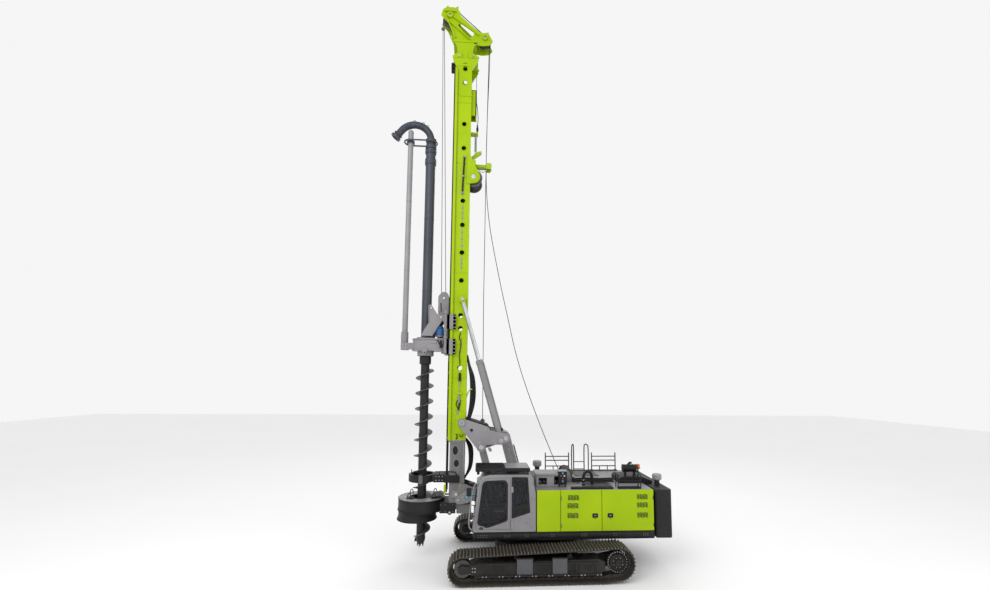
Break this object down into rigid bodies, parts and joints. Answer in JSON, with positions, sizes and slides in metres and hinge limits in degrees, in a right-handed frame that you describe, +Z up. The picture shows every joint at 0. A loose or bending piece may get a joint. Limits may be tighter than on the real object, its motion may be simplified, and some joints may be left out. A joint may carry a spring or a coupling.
{
  "type": "rotary piling rig",
  "caption": "Crawler rotary piling rig: slewing deck with cab and engine house, parallelogram-held mast, crowd sled with rotary drive, and a continuous flight auger in its casing.",
  "frame": {"origin": "on the ground, in the middle of the whole machine seen from above", "axes": "+Z up along the mast, -X towards the front where the auger is, -Y the cab side"},
  "size_m": [8.97, 4.2, 18.9],
  "materials": {
    "lime_paint": "semi-gloss yellow-green paint, dusty towards the bottom",
    "grey_paint": "satin warm grey paint",
    "charcoal_paint": "satin charcoal paint",
    "worn_steel": "worn dark steel with soil in the recesses",
    "machined_steel": "machined steel, greased",
    "chrome_rod": "hard chrome rod",
    "blue_paint": "satin blue paint",
    "seat_fabric": "blue woven seat cover",
    "cab_glass": "clear safety glass with a grey tint",
    "wire_rope": "greased steel wire rope"
  },
  "bodies": {
    "undercarriage": {"track_left": "worn_steel", "track_right": "worn_steel", "track_frame_left": "charcoal_paint", "track_frame_right": "charcoal_paint", "sprocket_left": "worn_steel", "sprocket_right": "worn_steel", "car_body": "charcoal_paint", "slew_ring": "machined_steel"},
    "upper_structure": {"platform": "charcoal_paint", "counterweight": "charcoal_paint", "engine_block": "worn_steel", "engine_house": "grey_paint", "left_front_panel": "lime_paint", "right_front_panel": "lime_paint", "front_tank": "grey_paint", "boom_bracket": "grey_paint", "deck_cabinet": "grey_paint", "muffler": "charcoal_paint", "deck_rails": "charcoal_paint", "cab_shell": "grey_paint", "cab_left_glass": "cab_glass", "cab_right_glass": "cab_glass", "cab_rear_glass": "cab_glass", "windshield": "cab_glass", "operator_seat": "seat_fabric", "roof_guard": "charcoal_paint", "aux_winch_frame": "grey_paint"},
    "cab_door": {"cab_door": "grey_paint", "cab_door_glass": "cab_glass"},
    "left_front_door": {"left_front_door": "lime_paint"},
    "left_rear_door": {"left_rear_door": "lime_paint"},
    "right_front_door": {"right_front_door": "lime_paint"},
    "right_rear_door": {"right_rear_door": "lime_paint"},
    "aux_winch_drum": {"aux_winch_drum": "machined_steel"},
    "boom": {"boom": "grey_paint"},
    "front_link": {"front_link": "grey_paint"},
    "luff_barrels": {"luff_barrels": "grey_paint"},
    "luff_rods": {"luff_rods": "chrome_rod"},
    "tripod": {"tripod": "grey_paint", "auxiliary_rope": "wire_rope"},
    "stay_barrels": {"stay_barrel_left": "grey_paint", "stay_barrel_right": "grey_paint"},
    "stay_rods": {"stay_rod_left": "chrome_rod", "stay_rod_right": "chrome_rod"},
    "mast": {"mast": "lime_paint", "lower_mast": "grey_paint", "mast_head": "lime_paint", "guide_arm": "charcoal_paint", "soil_catcher": "charcoal_paint"},
    "head_sheave": {"head_sheave": "machined_steel"},
    "rear_sheave": {"rear_sheave": "machined_steel"},
    "crowd_winch_drum": {"crowd_winch_drum": "machined_steel"},
    "main_winch_drum": {"main_winch_drum": "machined_steel"},
    "rotary_head": {"crowd_sled": "grey_paint", "rotary_gearbox": "grey_paint", "rotary_motors": "blue_paint", "torque_bar": "grey_paint", "gooseneck": "charcoal_paint"},
    "drill_string": {"drill_pipe": "worn_steel", "auger": "worn_steel"}
  },
  "joints": [
    {"name": "slew", "type": "hinge", "parent": "undercarriage", "child": "upper_structure", "pos_m": [0.53, 0, 1.014], "axis": [0, 0, 1], "continuous": true},
    {"name": "cab_door_hinge", "type": "hinge", "parent": "upper_structure", "child": "cab_door", "pos_m": [-0.3, -1.47, 2], "axis": [0, 0, 1], "range_deg": [0, 165]},
    {"name": "left_front_door_hinge", "type": "hinge", "parent": "upper_structure", "child": "left_front_door", "pos_m": [1.14, -1.512, 1.8], "axis": [0, 0, -1], "range_deg": [0, 100]},
    {"name": "left_rear_door_hinge", "type": "hinge", "parent": "upper_structure", "child": "left_rear_door", "pos_m": [3.96, -1.512, 1.8], "axis": [0, 0, 1], "range_deg": [0, 100]},
    {"name": "right_front_door_hinge", "type": "hinge", "parent": "upper_structure", "child": "right_front_door", "pos_m": [1.14, 1.512, 1.8], "axis": [0, 0, 1], "range_deg": [0, 100]},
    {"name": "right_rear_door_hinge", "type": "hinge", "parent": "upper_structure", "child": "right_rear_door", "pos_m": [3.96, 1.512, 1.8], "axis": [0, 0, -1], "range_deg": [0, 100]},
    {"name": "aux_winch_spin", "type": "hinge", "parent": "upper_structure", "child": "aux_winch_drum", "pos_m": [1.58, 0, 2.66], "axis": [0, 1, 0], "continuous": true},
    {"name": "boom_luff", "type": "hinge", "parent": "upper_structure", "child": "boom", "pos_m": [0.07, 0, 2.03], "axis": [0, 1, 0], "range_deg": [-15, 6]},
    {"name": "link_swing", "type": "hinge", "parent": "upper_structure", "child": "front_link", "pos_m": [-0.71, 0, 1.76], "axis": [0, 1, 0], "range_deg": [-15, 6]},
    {"name": "luff_barrel_swing", "type": "hinge", "parent": "upper_structure", "child": "luff_barrels", "pos_m": [-0.99, 0, 1.42], "axis": [0, 1, 0], "range_deg": [-4.8, 2]},
    {"name": "luff_rod_slide", "type": "slide", "parent": "luff_barrels", "child": "luff_rods", "axis": [0.5272, 0, 0.8498], "range_m": [-0.16, 0.065]},
    {"name": "tripod_level", "type": "hinge", "parent": "boom", "child": "tripod", "pos_m": [-0.43, 0, 3.84], "axis": [0, 1, 0], "range_deg": [-6, 15]},
    {"name": "mast_tilt", "type": "hinge", "parent": "tripod", "child": "mast", "pos_m": [-1.83, 0, 4.32], "axis": [0, 1, 0], "range_deg": [-5, 15], "deforming": ["auxiliary_rope"]},
    {"name": "stay_swing", "type": "hinge", "parent": "tripod", "child": "stay_barrels", "pos_m": [-0.59, 0, 3.77], "axis": [0, 1, 0], "range_deg": [-4.2, 12.5]},
    {"name": "stay_slide", "type": "slide", "parent": "stay_barrels", "child": "stay_rods", "axis": [-0.277, 0, 0.9609], "range_m": [-0.29, 0.1]},
    {"name": "head_sheave_spin", "type": "hinge", "parent": "mast", "child": "head_sheave", "pos_m": [-2.51, 0, 18.52], "axis": [0, 1, 0], "continuous": true},
    {"name": "rear_sheave_spin", "type": "hinge", "parent": "mast", "child": "rear_sheave", "pos_m": [-1.27, 0, 17.72], "axis": [0, 1, 0], "continuous": true},
    {"name": "crowd_winch_spin", "type": "hinge", "parent": "mast", "child": "crowd_winch_drum", "pos_m": [-1.59, 0, 12.53], "axis": [0, 1, 0], "continuous": true},
    {"name": "main_winch_spin", "type": "hinge", "parent": "mast", "child": "main_winch_drum", "pos_m": [-1.4, 0, 2.06], "axis": [0, 1, 0], "continuous": true},
    {"name": "crowd_slide", "type": "slide", "parent": "mast", "child": "rotary_head", "axis": [0, 0, 1], "range_m": [-3.6, 7.5]},
    {"name": "drill_spin", "type": "hinge", "parent": "rotary_head", "child": "drill_string", "pos_m": [-3.09, 0, 7], "axis": [0, 0, 1], "continuous": true}
  ],
  "couplings": [
    {"joint": "link_swing", "follows": "boom_luff", "ratio": 1},
    {"joint": "tripod_level", "follows": "boom_luff", "ratio": -1},
    {"joint": "luff_barrel_swing", "follows": "boom_luff", "ratio": 0.31914},
    {"joint": "luff_rod_slide", "follows": "boom_luff", "m_per_rad": 0.60374},
    {"joint": "stay_swing", "follows": "mast_tilt", "ratio": 0.82714},
    {"joint": "stay_slide", "follows": "mast_tilt", "m_per_rad": -1.0987}
  ]
}
